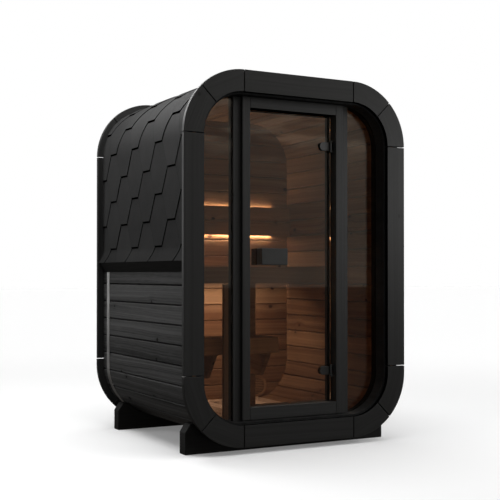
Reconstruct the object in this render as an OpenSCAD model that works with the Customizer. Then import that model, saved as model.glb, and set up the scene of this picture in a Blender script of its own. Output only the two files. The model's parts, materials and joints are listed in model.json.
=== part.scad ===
// Cube sauna with a glazed front, rounded corners, a shingle-clad back and two foot beams.
// Millimetres, +Z up, the glazed front faces -Y, the ground is Z = 0.

/* [Overall] */
// Width across the face rings
width = 1430; // [1300:10:1600]
// Depth from the front ring face to the back ring face
depth = 1330; // [1200:10:1600]
// Height from the ground to the top of the face rings
height = 2080; // [1980:10:2240]
// Outer corner radius of the face rings
corner_radius = 360; // [320:5:380]
// Height of the face rings above the ground
ring_lift = 37; // [30:1:60]

/* [Face rings] */
// Thickness of a face ring board, front to back
ring_thickness = 25; // [20:1:32]
// Radial width of a face ring board
ring_width = 120; // [110:1:130]
// How far the rings stand proud of the wall surface
ring_proud = 40; // [36:1:46]
// Open joint between ring boards
ring_joint = 5; // [3:0.5:8]
// Straight length at the foot of the lower corner boards
corner_tail = 39; // [20:1:60]

/* [Shell] */
// Thickness of the wall, roof and base boards
wall_thickness = 44; // [38:1:50]
// Thickness of the loose floor boards
floor_thickness = 18; // [14:1:24]
// Width of one loose floor board
floor_board = 92; // [80:1:110]
// Gap between the loose floor boards
floor_gap = 8; // [5:1:12]
// Number of loose floor boards
floor_count = 8; // [7:1:8]
// Thickness of the back wall
back_wall_thickness = 42; // [36:1:48]
// Recess of the back wall behind the back ring
back_wall_recess = 43; // [30:1:60]

/* [Vent] */
// Bore through the back wall
vent_bore = 110; // [100:1:120]
// Diameter of the vent flange
vent_flange = 140; // [130:1:150]
// Thickness of the vent flange
vent_flange_thickness = 5; // [4:0.5:7]
// Wall of the vent sleeve
vent_sleeve = 4; // [3:0.5:6]
// Number of louvre blades
vent_blades = 7; // [5:1:8]
// Thickness of one louvre blade
vent_blade_thickness = 3; // [2.5:0.5:4]
// Depth of one louvre blade
vent_blade_depth = 14; // [10:1:20]
// Distance of the vent from the centre plane, to the right
vent_offset = 400; // [340:5:410]
// Gap between the vent flange and the floor boards
vent_gap = 3; // [2:1:30]

/* [Glazing frame] */
// Radial width of the glazing hoop
hoop_width = 47; // [42:1:54]
// Depth of the glazing hoop behind the front ring
hoop_depth = 125; // [115:1:140]
// Clear width between the door jambs
door_opening = 562; // [540:2:620]
// Width of a door jamb
jamb_width = 49; // [44:1:56]
// Setback of the door jambs behind the front ring
jamb_setback = 45; // [38:1:55]
// Depth of the door jambs
jamb_depth = 122; // [110:1:130]
// Width of a mullion
mullion_width = 46; // [40:1:52]
// Setback of the mullions behind the jamb faces
mullion_setback = 22; // [15:1:28]
// Setback of the fixed panes behind the mullion faces
pane_setback = 13; // [10:1:20]
// Thickness of the fixed panes and the door pane
glass_thickness = 8; // [6:1:10]
// Depth of the glazing groove
groove_depth = 8; // [6:1:10]
// Free play of a pane in its groove
groove_play = 1; // [0.5:0.25:1.5]
// Height of the door sill
sill_height = 72; // [64:1:80]
// Height of the door head
head_height = 61; // [54:1:72]
// Setback of the door pane behind the jamb faces
leaf_setback = 50; // [44:1:58]
// Thickness of the door stop
stop_depth = 18; // [14:1:22]
// How far the door stop stands into the opening
stop_lap = 9; // [7:1:12]

/* [Door] */
// Clearance round the door pane
leaf_gap = 5; // [5:0.5:7]
// Distance of a hinge centre from the sill or the head
hinge_offset = 177; // [140:1:220]
// Height of the hinge clamp
clamp_height = 48; // [42:1:56]
// Reach of the hinge clamp from the hinge axis
clamp_reach = 70; // [60:1:80]
// Thickness of the outer clamp plate
clamp_outer = 11; // [9:1:12]
// Thickness of the inner clamp plate
clamp_inner = 7; // [5:1:9]
// Distance of the hinge axis from the jamb
axis_inset = 14; // [13:0.5:16]
// Distance of the hinge axis in front of the door pane
axis_front = 17; // [16:0.5:20]
// Outer radius of the hinge barrel
barrel_radius = 8; // [7:0.5:9]
// Radius of the hinge pin
pin_radius = 4; // [3:0.5:4.5]
// Clearance at the hinge pin and between the knuckles
pin_play = 0.5; // [0.3:0.1:0.8]
// Height of one fixed knuckle
knuckle_height = 9; // [7:1:12]
// Thickness of the hinge leaf on the jamb
hinge_plate = 3; // [2:0.5:4]

/* [Handles] */
// Length of a handle
handle_length = 166; // [140:2:190]
// Height of a handle
handle_height = 93; // [80:1:105]
// Depth of a handle
handle_depth = 58; // [50:1:60]
// Wall of a handle
handle_wall = 16; // [12:1:20]
// Distance of the handles from the free edge of the pane
handle_inset = 63; // [50:1:80]
// Height of the handle centre above the ground
handle_centre = 1070; // [1000:5:1120]

/* [Roof skin] */
// Thickness of the shingle skin
skin_thickness = 6; // [5:0.5:8]
// Height of the eave edge above the ground
eave_height = 1045; // [980:5:1100]
// Height of the flared last course
flare_height = 75; // [65:1:90]
// Outward throw of the flare
flare_throw = 29; // [24:1:32]
// Drop of the wedge strip below the eave edge
wedge_drop = 60; // [50:1:75]

/* [Straps] */
// Width of a steel strap
strap_width = 42; // [38:1:48]
// Thickness of a steel strap
strap_thickness = 2; // [1.5:0.5:3]
// Gap between the back strap and its foot beam
strap_gap = 3; // [2:1:8]
// Gap between the front strap and its foot beam
front_strap_gap = 26; // [20:1:34]

/* [Feet] */
// Thickness of a foot beam
foot_thickness = 75; // [65:1:90]
// Length of a foot beam
foot_length = 1290; // [1240:5:1340]
// Height of a foot beam at its horns
foot_height = 166; // [150:1:180]
// Chamfer of the horn, sideways
foot_chamfer_side = 30; // [20:1:32]
// Chamfer of the horn, downwards
foot_chamfer_down = 46; // [36:1:60]
// Setback of a foot beam from the nearer ring face
foot_setback = 131; // [129:1:150]

/* [Benches] */
// Board thickness of the benches and the backrest
board = 28; // [24:1:32]
// Height of the upper bench above the ground
upper_height = 1017; // [980:1:1060]
// Distance of the upper bench front from the back wall
upper_depth = 600; // [560:5:620]
// Height of the upper bench fascia
upper_fascia = 100; // [90:1:110]
// Height of the lower bench above the ground
lower_height = 598; // [570:1:640]
// Distance of the lower bench front from the back wall
lower_depth = 820; // [800:5:840]
// Height of the lower bench fascia
lower_fascia = 93; // [84:1:100]
// Right end of the lower bench from the centre plane
lower_end = 90; // [70:5:120]
// Gap between bench slats
slat_gap = 12; // [8:1:16]
// Number of upper bench slats
upper_slats = 5; // [4:1:6]
// Number of lower bench slats
lower_slats = 2; // [2:1:3]
// Gap between the upper slats and the back wall
back_air = 22; // [15:1:40]
// Side of a bench leg
leg = 40; // [36:1:50]
// Distance of the right leg's centre from the end of the lower bench
leg_overhang = 40; // [30:1:60]
// Spacing between the two bench legs
leg_spacing = 360; // [340:2:400]
// Height of a bracket at its root
bracket_height = 210; // [190:2:230]
// Height of a bracket at its nose
bracket_nose = 64; // [50:2:80]
// Length of the level foot of a bracket
bracket_foot = 118; // [90:2:140]
// Height of the cleats under the upper slats
cleat_height = 45; // [38:1:55]

/* [Backrest] */
// Top of the backrest above the ground
backrest_top = 1428; // [1390:1:1460]
// Width of one backrest board
backrest_board = 93; // [86:1:100]
// Gap between the two backrest boards
backrest_gap = 8; // [6:1:12]
// Air gap between the backrest and the back wall
backrest_air = 22; // [18:1:30]
// Side clearance of the backrest
backrest_side = 5; // [3:1:8]
// Width of a backrest batten
batten_width = 40; // [34:1:50]
// Spacing of the outer battens from the centre plane
batten_spread = 440; // [380:10:500]
// Height and depth of a light bar
light_bar = 10; // [8:1:12]
// Length of a light bar
light_length = 1000; // [900:10:1100]
// Distance between a light bar and a batten end
light_gap = 4; // [3:1:8]

/* [Inner post] */
// Width of the post board beside the latch jamb
post_width = 70; // [60:1:90]
// Top of the post board above the ground
post_top = 917; // [880:1:950]

/* [Hidden] */
eps = 1;
half_w = width / 2;
half_d = depth / 2;
front = -half_d;
back = half_d;
arc_x = half_w - corner_radius;
arc_low = ring_lift + corner_radius;
arc_high = height - corner_radius;
shell_front = front + ring_thickness;
shell_back = back - ring_thickness;
wall_out = ring_proud;
wall_in = ring_proud + wall_thickness;
hoop_in = wall_in + hoop_width;
room_half = half_w - wall_in;
base_top = ring_lift + wall_in;
floor_top = base_top + floor_thickness;
vent_height = floor_top + vent_gap + vent_flange / 2;
back_out = shell_back - back_wall_recess;
back_in = back_out - back_wall_thickness;
hoop_back = shell_front + hoop_depth;
jamb_front = shell_front + jamb_setback;
jamb_back = jamb_front + jamb_depth;
mullion_front = jamb_front + mullion_setback;
pane_front = mullion_front + pane_setback;
pane_back = pane_front + glass_thickness;
leaf_front = jamb_front + leaf_setback;
leaf_back = leaf_front + glass_thickness;
half_open = door_opening / 2;
jamb_out = half_open + jamb_width;
mullion_out = jamb_out + mullion_width;
open_low = ring_lift + hoop_in;
open_high = height - hoop_in;
sill_top = open_low + sill_height;
head_low = open_high - head_height;
leaf_half = half_open - leaf_gap;
leaf_low = sill_top + leaf_gap;
leaf_high = head_low - leaf_gap;
stop_front = leaf_back + leaf_gap;
axis_x = half_open - axis_inset;
axis_y = leaf_front - axis_front;
hinge_low = sill_top + hinge_offset;
hinge_high = head_low - hinge_offset;
handle_left = -leaf_half + handle_inset;
skin_out = ring_proud - skin_thickness;
flare_top = eave_height + flare_height;
wall_x = half_w - wall_out;
foot_front = front + foot_setback;
foot_low_back = back - foot_setback - foot_thickness;
bench_front = back_in - upper_depth;
step_front = back_in - lower_depth;
leg_front = bench_front + board;
leg_right = lower_end - leg_overhang;
leg_left = leg_right - leg_spacing;
slat_first = bench_front + board;
slat_run = back_in - back_air - slat_first;
slat_width = (slat_run - upper_slats * slat_gap) / upper_slats;
step_first = step_front + board;
step_run = leg_front - step_first;
step_width = (step_run - lower_slats * slat_gap) / lower_slats;
under_seat = upper_height - board;
under_step = lower_height - board;
rest_back = back_in - backrest_air;
rest_front = rest_back - board;
rest_low = backrest_top - 2 * backrest_board - backrest_gap;
batten_low = rest_low + light_bar + 2 * light_gap;
batten_high = backrest_top - light_bar - 2 * light_gap;

// A flat shape drawn in X and Z, run from y0 to y1.
module run_y(y0, y1) {
    translate([0, y1, 0])
        rotate([90, 0, 0])
            linear_extrude(height = y1 - y0)
                children();
}

// A box by its lowest and highest corners.
module box(a, b) {
    translate(a)
        cube([b[0] - a[0], b[1] - a[1], b[2] - a[2]]);
}

// A rectangle by its lowest and highest corners.
module rect(a, b) {
    translate(a)
        square([b[0] - a[0], b[1] - a[1]]);
}

// The rounded outline of the cabin, moved inwards by inset.
module outline(inset) {
    rect([-half_w + inset, arc_low], [half_w - inset, arc_high]);
    rect([-arc_x, ring_lift + inset], [arc_x, height - inset]);
    for (x = [-arc_x, arc_x])
        for (z = [arc_low, arc_high])
            translate([x, z])
                circle(r = corner_radius - inset);
}

// A band of the outline between two insets.
module band(outer, inner) {
    difference() {
        outline(outer);
        outline(inner);
    }
}

module both_sides() {
    children();
    mirror([1, 0, 0])
        children();
}

// Foot beams
module foot_beam(y) {
    run_y(y, y + foot_thickness)
        difference() {
            polygon([[-foot_length / 2, 0], [foot_length / 2, 0],
                [foot_length / 2, foot_height - foot_chamfer_down],
                [foot_length / 2 - foot_chamfer_side, foot_height],
                [-foot_length / 2 + foot_chamfer_side, foot_height],
                [-foot_length / 2, foot_height - foot_chamfer_down]]);
            outline(wall_out);
        }
}
module foot_beam_front() {
    color("#141414")
        foot_beam(foot_front);
}
module foot_beam_back() {
    color("#141414")
        foot_beam(foot_low_back);
}

// Shell
module base_boards() {
    color("#6b4427")
        box([-arc_x, shell_front, ring_lift + wall_out], [arc_x, shell_back, base_top]);
}
module roof_boards() {
    color("#6b4427")
        box([-arc_x, shell_front, height - wall_in], [arc_x, shell_back, height - wall_out]);
}
module side_wall() {
    box([room_half, shell_front, arc_low], [wall_x, shell_back, arc_high]);
}
module wall_left() {
    color("#1b1b1b")
        mirror([1, 0, 0])
            side_wall();
}
module wall_right() {
    color("#1b1b1b")
        side_wall();
}
module corner_low() {
    run_y(shell_front, shell_back)
        intersection() {
            band(wall_out, wall_in);
            rect([arc_x, ring_lift], [half_w, arc_low]);
        }
}
module corner_high() {
    run_y(shell_front, shell_back)
        intersection() {
            band(wall_out, wall_in);
            rect([arc_x, arc_high], [half_w, height]);
        }
}
module corner_low_left() {
    color("#1b1b1b")
        mirror([1, 0, 0])
            corner_low();
}
module corner_low_right() {
    color("#1b1b1b")
        corner_low();
}
module corner_high_left() {
    color("#1b1b1b")
        mirror([1, 0, 0])
            corner_high();
}
module corner_high_right() {
    color("#1b1b1b")
        corner_high();
}

// Loose floor boards, front to back
module floor_boards() {
    pitch = floor_board + floor_gap;
    start = -(floor_count * pitch - floor_gap) / 2;
    color("#8a5a35")
        run_y(jamb_back + floor_gap, back_in)
            intersection() {
                outline(wall_in);
                for (i = [0 : floor_count - 1])
                    rect([start + i * pitch, base_top],
                        [start + i * pitch + floor_board, floor_top]);
            }
}

// Back wall and its vent
module back_wall() {
    color("#7a4f2e")
        run_y(back_in, back_out)
            difference() {
                outline(wall_in);
                translate([vent_offset, vent_height])
                    circle(d = vent_bore);
            }
}
module vent_grille() {
    bore = vent_bore / 2 - vent_sleeve;
    pitch = 2 * bore / (vent_blades + 1);
    color("#6b4427") {
        run_y(back_in - vent_flange_thickness, back_in)
            translate([vent_offset, vent_height])
                difference() {
                    circle(d = vent_flange);
                    circle(r = bore);
                }
        run_y(back_in - vent_flange_thickness, back_out)
            translate([vent_offset, vent_height])
                difference() {
                    circle(d = vent_bore);
                    circle(r = bore);
                }
        run_y(back_in - vent_flange_thickness, back_in - vent_flange_thickness + vent_blade_depth)
            translate([vent_offset, vent_height])
                intersection() {
                    circle(r = bore + vent_sleeve / 2);
                    for (i = [1 : vent_blades])
                        translate([-bore - vent_sleeve, i * pitch - bore - vent_blade_thickness / 2])
                            square([2 * (bore + vent_sleeve), vent_blade_thickness]);
                }
    }
}

// Face rings
module ring_rails(y) {
    for (z = [ring_lift, height - ring_width])
        box([-arc_x + ring_joint / 2, y, z],
            [arc_x - ring_joint / 2, y + ring_thickness, z + ring_width]);
}
module ring_stiles(y) {
    both_sides()
        box([half_w - ring_width, y, arc_low + corner_tail + ring_joint / 2],
            [half_w, y + ring_thickness, arc_high - ring_joint / 2]);
}
module ring_corner(low, high, centre, turn) {
    difference() {
        intersection() {
            band(0, ring_width);
            rect([arc_x + ring_joint / 2, low], [half_w, high]);
        }
        translate([arc_x, centre])
            rotate(turn)
                translate([0, -ring_joint / 2])
                    square([2 * corner_radius, ring_joint]);
    }
}
module ring_corners(y) {
    run_y(y, y + ring_thickness)
        both_sides() {
            ring_corner(arc_high + ring_joint / 2, height, arc_high, 45);
            ring_corner(ring_lift, arc_low + corner_tail - ring_joint / 2, arc_low, -45);
        }
}
module front_ring_rails() {
    color("#202020")
        ring_rails(front);
}
module front_ring_stiles() {
    color("#202020")
        ring_stiles(front);
}
module front_ring_corners() {
    color("#202020")
        ring_corners(front);
}
module back_ring_rails() {
    color("#202020")
        ring_rails(shell_back);
}
module back_ring_stiles() {
    color("#202020")
        ring_stiles(shell_back);
}
module back_ring_corners() {
    color("#202020")
        ring_corners(shell_back);
}

// Fixed glazing
module side_pane(play) {
    run_y(pane_front - play, pane_back + play)
        intersection() {
            outline(hoop_in - groove_depth - play);
            rect([mullion_out - groove_depth - play, ring_lift], [half_w, height]);
        }
}
module side_pane_left() {
    color([0.35, 0.28, 0.22, 0.35])
        mirror([1, 0, 0])
            side_pane(0);
}
module side_pane_right() {
    color([0.35, 0.28, 0.22, 0.35])
        side_pane(0);
}
module glazing_hoop() {
    color("#101010")
        difference() {
            run_y(shell_front, hoop_back)
                band(wall_in, hoop_in);
            both_sides()
                side_pane(groove_play);
        }
}
module mullion() {
    difference() {
        run_y(mullion_front, hoop_back)
            intersection() {
                outline(hoop_in);
                rect([jamb_out, ring_lift], [mullion_out, height]);
            }
        side_pane(groove_play);
    }
}
module mullion_left() {
    color("#1b1b1b")
        mirror([1, 0, 0])
            mullion();
}
module mullion_right() {
    color("#1b1b1b")
        mullion();
}

// Door frame
module jamb() {
    run_y(jamb_front, jamb_back)
        intersection() {
            outline(hoop_in);
            rect([half_open, ring_lift], [jamb_out, height]);
        }
    box([half_open - stop_lap, stop_front, sill_top],
        [half_open, stop_front + stop_depth, head_low]);
}
module jamb_latch() {
    color("#181818")
        mirror([1, 0, 0])
            jamb();
}
module jamb_hinge() {
    color("#181818")
        jamb();
}
module door_head() {
    color("#181818")
        box([-half_open, jamb_front, head_low], [half_open, jamb_back, open_high]);
}
module door_sill() {
    color("#181818")
        box([-half_open, jamb_front, open_low], [half_open, jamb_back, sill_top]);
}

// Door leaf
module door_pane() {
    color([0.35, 0.28, 0.22, 0.35])
        box([-leaf_half, leaf_front, leaf_low], [leaf_half, leaf_back, leaf_high]);
}
module clamp_plate(y0, y1, edge) {
    run_y(y0, y1) {
        rect([axis_x - clamp_reach + clamp_height / 2, -clamp_height / 2],
            [edge, clamp_height / 2]);
        translate([axis_x - clamp_reach + clamp_height / 2, 0])
            circle(d = clamp_height);
    }
}
module hinge_clamp() {
    difference() {
        union() {
            clamp_plate(leaf_front - clamp_outer, leaf_front, axis_x);
            clamp_plate(leaf_back, leaf_back + clamp_inner, axis_x);
            translate([axis_x, axis_y, -clamp_height / 2])
                cylinder(r = barrel_radius, h = clamp_height);
        }
        translate([axis_x, axis_y, -clamp_height])
            cylinder(r = pin_radius + pin_play, h = 2 * clamp_height);
    }
}
module hinge_clamps() {
    color("#0c0c0c")
        for (z = [hinge_low, hinge_high])
            translate([0, 0, z])
                hinge_clamp();
}
module hinge_plate_side() {
    reach = clamp_height / 2 + pin_play + knuckle_height;
    translate([axis_x, axis_y, -reach])
        cylinder(r = pin_radius, h = 2 * reach);
    for (s = [0, 1])
        mirror([0, 0, s]) {
            translate([axis_x, axis_y, clamp_height / 2 + pin_play])
                cylinder(r = barrel_radius, h = knuckle_height);
            box([axis_x, axis_y - barrel_radius, clamp_height / 2 + pin_play],
                [half_open, axis_y + barrel_radius / 2, reach]);
        }
    box([half_open - hinge_plate, axis_y - 2 * barrel_radius, -reach],
        [half_open, axis_y + barrel_radius, reach]);
}
module hinge_plates() {
    color("#0c0c0c")
        for (z = [hinge_low, hinge_high])
            translate([0, 0, z])
                hinge_plate_side();
}
module handle(y, turn) {
    translate([handle_left, y, handle_centre - handle_height / 2])
        mirror([0, turn, 0])
            difference() {
                cube([handle_length, handle_depth, handle_height]);
                translate([handle_wall, handle_wall, -eps])
                    cube([handle_length - 2 * handle_wall, handle_depth, handle_height + 2 * eps]);
            }
}
module handle_outside() {
    color("#1e1e1e")
        handle(leaf_front - handle_depth, 0);
}
module handle_inside() {
    color("#1e1e1e")
        handle(leaf_back + handle_depth, 1);
}

// Shingle skin, eaves and straps
module skin_side() {
    run_y(shell_front, shell_back)
        polygon([[wall_x, arc_high], [wall_x + skin_thickness, arc_high],
            [wall_x + skin_thickness, flare_top],
            [wall_x + skin_thickness + flare_throw, eave_height],
            [wall_x + flare_throw, eave_height], [wall_x, flare_top]]);
}
module skin_left() {
    color("#242424")
        mirror([1, 0, 0])
            skin_side();
}
module skin_right() {
    color("#242424")
        skin_side();
}
module skin_roof() {
    color("#242424")
        run_y(shell_front, shell_back)
            intersection() {
                band(skin_out, wall_out);
                rect([-half_w, arc_high], [half_w, height]);
            }
}
module eave_wedges() {
    color("#111111")
        run_y(shell_front, shell_back)
            both_sides()
                polygon([[wall_x, flare_top], [wall_x + flare_throw, eave_height],
                    [wall_x, eave_height - wedge_drop]]);
}
module strap(y) {
    run_y(y, y + strap_width)
        intersection() {
            band(wall_out - strap_thickness, wall_out);
            rect([-half_w, ring_lift], [half_w, eave_height - wedge_drop]);
        }
}
module straps() {
    color("#8d8f92") {
        strap(foot_front - front_strap_gap - strap_width);
        strap(foot_low_back + foot_thickness + strap_gap);
    }
}

// Upper bench
module upper_bench() {
    color("#9a6a40")
        for (i = [0 : upper_slats - 1])
            box([-room_half, slat_first + slat_gap + i * (slat_width + slat_gap), under_seat],
                [room_half, slat_first + (i + 1) * (slat_width + slat_gap), upper_height]);
}
module upper_frame() {
    color("#8a5a35") {
        box([-room_half, bench_front, upper_height - upper_fascia],
            [room_half, leg_front, upper_height]);
        both_sides()
            box([room_half - board, leg_front, under_seat - cleat_height],
                [room_half, back_in, under_seat]);
        for (x = [leg_left, leg_right]) {
            box([x - leg / 2, leg_front, floor_top], [x + leg / 2, leg_front + leg, under_seat]);
            box([x - leg / 2, leg_front, under_seat - cleat_height],
                [x + leg / 2, back_in, under_seat]);
            translate([x - leg / 2, 0, 0])
                rotate([90, 0, 90])
                    linear_extrude(height = board)
                        polygon([[step_first, under_step],
                            [leg_front, under_step],
                            [leg_front, under_step - bracket_height],
                            [leg_front - bracket_foot, under_step - bracket_height],
                            [step_first, under_step - bracket_nose]]);
        }
    }
}

// Lower bench
module lower_bench() {
    color("#9a6a40") {
        box([-room_half, step_front, lower_height - lower_fascia],
            [lower_end, step_first, lower_height]);
        for (i = [0 : lower_slats - 1])
            box([-room_half, step_first + slat_gap + i * (step_width + slat_gap), under_step],
                [lower_end, step_first + (i + 1) * (step_width + slat_gap), lower_height]);
    }
}

// Backrest with its light bars
module backrest() {
    color("#9a6a40") {
        for (z = [rest_low, rest_low + backrest_board + backrest_gap])
            box([-room_half + backrest_side, rest_front, z],
                [room_half - backrest_side, rest_back, z + backrest_board]);
        for (x = [-batten_spread, 0, batten_spread])
            box([x - batten_width / 2, rest_back, batten_low],
                [x + batten_width / 2, back_in, batten_high]);
    }
}
module light_bars() {
    color("#ffd9a0")
        for (z = [rest_low + light_gap, backrest_top - light_gap - light_bar])
            box([-light_length / 2, back_in - light_bar, z],
                [light_length / 2, back_in, z + light_bar]);
}

// Post board beside the latch jamb
module inner_post() {
    color("#9a6a40")
        run_y(hoop_back, hoop_back + board)
            intersection() {
                outline(wall_in);
                rect([-jamb_out - post_width, base_top], [-jamb_out, post_top]);
            }
}

foot_beam_front();
foot_beam_back();
base_boards();
wall_left();
wall_right();
roof_boards();
corner_low_left();
corner_low_right();
corner_high_left();
corner_high_right();
floor_boards();
back_wall();
vent_grille();
front_ring_rails();
front_ring_stiles();
front_ring_corners();
back_ring_rails();
back_ring_stiles();
back_ring_corners();
glazing_hoop();
mullion_left();
mullion_right();
side_pane_left();
side_pane_right();
jamb_latch();
jamb_hinge();
door_head();
door_sill();
door_pane();
hinge_clamps();
handle_outside();
handle_inside();
hinge_plates();
skin_left();
skin_right();
skin_roof();
eave_wedges();
straps();
upper_bench();
upper_frame();
lower_bench();
backrest();
light_bars();
inner_post();
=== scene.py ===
import json
import math
import random

import bmesh
import bpy
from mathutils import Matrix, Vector

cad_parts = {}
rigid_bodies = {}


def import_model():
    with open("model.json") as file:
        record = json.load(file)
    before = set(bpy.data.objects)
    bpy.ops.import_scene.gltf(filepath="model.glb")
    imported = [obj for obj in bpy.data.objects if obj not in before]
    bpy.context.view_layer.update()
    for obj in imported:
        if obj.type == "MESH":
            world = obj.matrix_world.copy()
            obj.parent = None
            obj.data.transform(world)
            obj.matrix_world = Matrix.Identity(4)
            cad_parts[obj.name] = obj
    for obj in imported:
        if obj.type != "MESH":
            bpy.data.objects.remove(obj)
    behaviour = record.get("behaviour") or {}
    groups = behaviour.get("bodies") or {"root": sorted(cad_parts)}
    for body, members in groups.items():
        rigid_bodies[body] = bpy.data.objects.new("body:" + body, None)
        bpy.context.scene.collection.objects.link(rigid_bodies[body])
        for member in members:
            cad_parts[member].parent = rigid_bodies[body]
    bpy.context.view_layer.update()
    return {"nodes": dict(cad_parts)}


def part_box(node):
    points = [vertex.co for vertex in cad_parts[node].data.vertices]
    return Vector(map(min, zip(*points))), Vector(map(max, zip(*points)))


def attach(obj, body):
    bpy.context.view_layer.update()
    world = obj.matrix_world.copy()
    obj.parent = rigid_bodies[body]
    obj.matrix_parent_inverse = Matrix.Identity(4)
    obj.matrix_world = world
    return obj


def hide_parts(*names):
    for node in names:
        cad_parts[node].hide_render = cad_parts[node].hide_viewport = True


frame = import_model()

scene = bpy.context.scene

# The cabin's outline, followed from the middle of the roof down one side, in metres.
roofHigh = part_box("roof_boards")[1]
wallLow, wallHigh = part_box("wall_right")
skinLow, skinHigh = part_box("skin_right")
wedgeLow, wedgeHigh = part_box("eave_wedges")
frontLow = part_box("front_ring_rails")[0]
barLow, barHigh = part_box("light_bars")

flatHalf = roofHigh.x  # half of the level stretch of the roof
curve = wallHigh.x - flatHalf  # radius of the boards' outer face
wallDepth = wallHigh.x - wallLow.x
runStart, runEnd = wallLow.y, wallHigh.y  # between the two face rings
quarter = curve * math.pi / 2
pathWall = flatHalf + quarter  # where the straight wall starts
pathFoot = pathWall + wallHigh.z - wallLow.z
pathEnd = pathFoot + quarter + flatHalf
skinDepth = 0.006  # of the shingle skin, without its flare over the eave
flareThrow = skinHigh.x - wallHigh.x - skinDepth
flarePower = 1.5  # how late the flare bends outwards
midHeight = (wallLow.z + wallHigh.z) / 2
boardPitch = 0.108
grainShift = 9.0  # the most that one board's grain is moved from the next one's
plainWhite = (1.0, 1.0, 1.0)


def pathAt(height):  # the path length at a height on the straight wall
    return pathWall + wallHigh.z - height


# A wire is a node's output. Sums and products of wires add Math nodes to its tree.
class Wire:
    def __init__(self, graph, socket):
        self.graph = graph
        self.socket = socket

    def math(self, operation, *others):
        values = dict(enumerate((self, *others)))
        return self.graph.node("ShaderNodeMath", {"operation": operation}, values)

    def __add__(self, other):
        return self.math("ADD", other)

    def __sub__(self, other):
        return self.math("SUBTRACT", other)

    def __rsub__(self, other):
        return self.graph.node("ShaderNodeMath", {"operation": "SUBTRACT"}, {0: other, 1: self})

    def __mul__(self, other):
        return self.math("MULTIPLY", other)

    def __truediv__(self, other):
        return self.math("DIVIDE", other)

    __radd__ = __add__
    __rmul__ = __mul__

    def between(self, low, high):
        return self.math("MAXIMUM", low).math("MINIMUM", high)

    def also(self, name):  # another output of the same node
        return Wire(self.graph, self.socket.node.outputs[name])


def openSocket(sockets, name):  # by number, or the first one in use that has the name
    if isinstance(name, int):
        return sockets[name]
    return next(plug for plug in sockets if plug.enabled and name in (None, plug.name))


class Graph:
    def __init__(self, tree):
        self.tree = tree

    def node(self, kind, settings=None, values=None, out=None):
        made = self.tree.nodes.new(kind)
        for name, setting in (settings or {}).items():
            setattr(made, name, setting)
        for name, value in (values or {}).items():
            socket = openSocket(made.inputs, name)
            if isinstance(value, Wire):
                self.tree.links.new(value.socket, socket)
            elif socket.type == "RGBA":
                socket.default_value = (*value, 1.0)
            else:
                socket.default_value = value
        return Wire(self, openSocket(made.outputs, out))

    def vector(self, x, y, z):
        return self.node("ShaderNodeCombineXYZ", {}, {"X": x, "Y": y, "Z": z})

    def parts(self, vector):
        split = self.node("ShaderNodeSeparateXYZ", {}, {"Vector": vector})
        return split, split.also("Y"), split.also("Z")

    def stretched(self, vector, scale):
        return self.node("ShaderNodeVectorMath", {"operation": "MULTIPLY"}, {0: vector, 1: scale})

    def scaled(self, vector, share):
        values = {"Vector": vector, "Scale": share}
        return self.node("ShaderNodeVectorMath", {"operation": "SCALE"}, values)

    def noise(self, vector, scale, detail=3.0, roughness=0.55):
        values = {"Vector": vector, "Scale": scale, "Detail": detail, "Roughness": roughness}
        return self.node("ShaderNodeTexNoise", {}, values)

    def ramp(self, value, low, high, to=(0.0, 1.0), kind="SMOOTHSTEP"):
        values = {"Value": value, "From Min": low, "From Max": high, "To Min": to[0], "To Max": to[1]}
        return self.node("ShaderNodeMapRange", {"interpolation_type": kind}, values)

    def blend(self, share, first, second):
        values = {"Factor": share, "A": first, "B": second}
        return self.node("ShaderNodeMix", {"data_type": "RGBA"}, values)


class Finish(Graph):  # a material, written as a graph that ends in finished()
    def __init__(self, name):
        self.material = bpy.data.materials.new(name)
        self.material.use_nodes = True
        super().__init__(self.material.node_tree)
        self.tree.nodes.clear()

    def attribute(self, name, out="Fac"):
        return self.node("ShaderNodeAttribute", {"attribute_name": name}, {}, out)

    def surface(self, **values):
        named = {name.replace("_", " "): value for name, value in values.items()}
        return self.node("ShaderNodeBsdfPrincipled", {}, named)

    def bump(self, height, strength, distance):
        values = {"Height": height, "Strength": strength, "Distance": distance}
        return self.node("ShaderNodeBump", {}, values)

    def matted(self, share, shader, colour):  # without sheen where the share is 1
        matt = self.node("ShaderNodeBsdfDiffuse", {}, {"Color": colour})
        return self.node("ShaderNodeMixShader", {}, {0: share, 1: shader, 2: matt})

    def finished(self, shader):
        last = self.tree.nodes.new("ShaderNodeOutputMaterial")
        self.tree.links.new(shader.socket, last.inputs["Surface"])
        return self.material


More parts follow.
